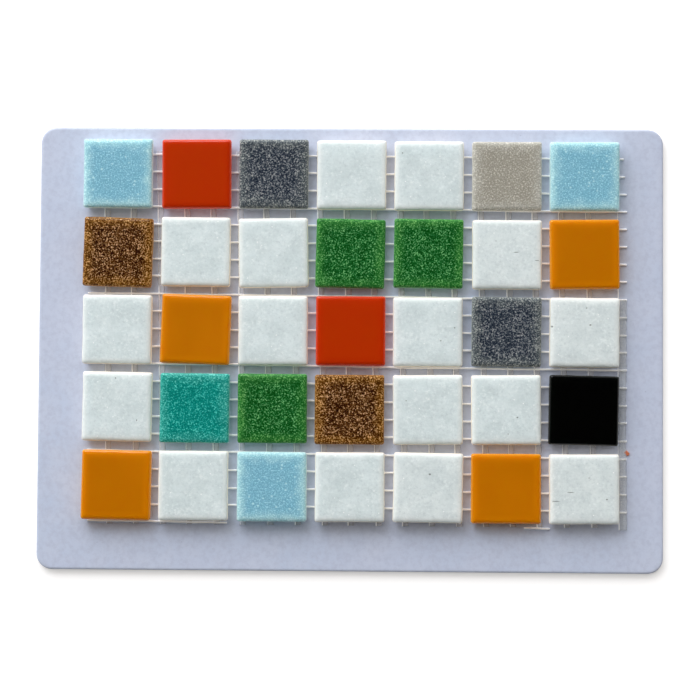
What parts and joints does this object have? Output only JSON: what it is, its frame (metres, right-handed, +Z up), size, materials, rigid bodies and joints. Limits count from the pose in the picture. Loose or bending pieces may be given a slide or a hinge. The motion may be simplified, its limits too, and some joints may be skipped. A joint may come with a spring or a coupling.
{
  "type": "mosaic tile sample sheet",
  "caption": "Square cast-glass mosaic tiles in mixed colours, set in a grid on a fibre net and laid on a stiff round-cornered card as a sample sheet.",
  "frame": {"origin": "middle of the card's underside", "axes": "+X along the card's long side, +Y towards the edge that the tiles lie nearest, +Z up out of the tiles' faces"},
  "size_m": [0.1782, 0.1264, 0.0065],
  "materials": {
    "card": "smooth pale board",
    "net": "coated fibre strands",
    "aqua_glass": "glossy, grainy",
    "red_glass": "glossy, opaque",
    "charcoal_glass": "glossy, grainy",
    "white_glass": "glossy, fine specks",
    "warm_grey_glass": "glossy, grainy",
    "brown_glass": "glossy, copper grains",
    "green_glass": "glossy, light flecks",
    "orange_glass": "glossy, opaque",
    "teal_glass": "glossy, speckled",
    "black_glass": "glossy, opaque"
  },
  "bodies": {
    "root": {"card": "card", "net_left_half": "net", "net_right_half": "net", "tile_r1_c1": "aqua_glass", "tile_r1_c2": "red_glass", "tile_r1_c3": "charcoal_glass", "tile_r1_c4": "white_glass", "tile_r1_c5": "white_glass", "tile_r1_c6": "warm_grey_glass", "tile_r1_c7": "aqua_glass", "tile_r2_c1": "brown_glass", "tile_r2_c2": "white_glass", "tile_r2_c3": "white_glass", "tile_r2_c4": "green_glass", "tile_r2_c5": "green_glass", "tile_r2_c6": "white_glass", "tile_r2_c7": "orange_glass", "tile_r3_c1": "white_glass", "tile_r3_c2": "orange_glass", "tile_r3_c3": "white_glass", "tile_r3_c4": "red_glass", "tile_r3_c5": "white_glass", "tile_r3_c6": "charcoal_glass", "tile_r3_c7": "white_glass", "tile_r4_c1": "white_glass", "tile_r4_c2": "teal_glass", "tile_r4_c3": "green_glass", "tile_r4_c4": "brown_glass", "tile_r4_c5": "white_glass", "tile_r4_c6": "white_glass", "tile_r4_c7": "black_glass", "tile_r5_c1": "orange_glass", "tile_r5_c2": "white_glass", "tile_r5_c3": "aqua_glass", "tile_r5_c4": "white_glass", "tile_r5_c5": "white_glass", "tile_r5_c6": "orange_glass", "tile_r5_c7": "white_glass"}
  },
  "joints": []
}
